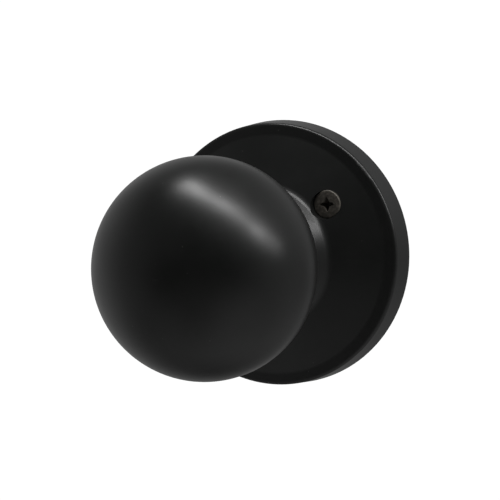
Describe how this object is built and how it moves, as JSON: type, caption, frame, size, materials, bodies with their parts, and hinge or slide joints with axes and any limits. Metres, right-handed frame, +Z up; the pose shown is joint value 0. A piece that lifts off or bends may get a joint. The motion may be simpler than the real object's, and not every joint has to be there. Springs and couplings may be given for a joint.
{
  "type": "door knob",
  "caption": "Ball door knob on a round rose, with a return spring, countersunk fixing screws and a square spindle. It turns both ways to draw a latch and springs back.",
  "frame": {"origin": "centre of the rose's back, on the door's face and on the knob's axis", "axes": "+Z up, -Y out of the door towards the ball, +X to the right of a person facing the door"},
  "size_m": [0.065, 0.1241, 0.065],
  "materials": {
    "black_coat": "satin",
    "dark_bronze": "satin",
    "plated_steel": "zinc plated",
    "cast_zinc": "as cast",
    "spring_steel": "oiled",
    "brass": "turned",
    "black_nylon": "moulded"
  },
  "bodies": {
    "rose": {"rose_cover": "black_coat", "mounting_screws": "dark_bronze", "screw_sleeves": "plated_steel", "neck_bush": "black_nylon", "backplate": "plated_steel", "rear_bush": "brass", "thrust_washer": "plated_steel", "cam_washer": "black_nylon", "stop_pin": "plated_steel", "spring_cage": "plated_steel", "cage_rivets": "plated_steel", "return_spring": "spring_steel"},
    "knob": {"knob_shell": "black_coat", "knob_rear_cap": "black_coat", "knob_neck": "black_coat", "knob_core": "cast_zinc", "core_washer": "plated_steel", "core_nut": "plated_steel", "spindle": "plated_steel", "spindle_pin": "spring_steel", "drive_cam": "plated_steel", "disc_spring": "spring_steel", "retaining_ring": "spring_steel"}
  },
  "joints": [
    {"name": "knob_turn", "type": "hinge", "parent": "rose", "child": "knob", "pos_m": [0, 0, 0], "axis": [0, -1, 0], "range_deg": [-60, 60], "stiffness_Nm_per_rad": 0.35, "deforming": ["return_spring"]}
  ]
}
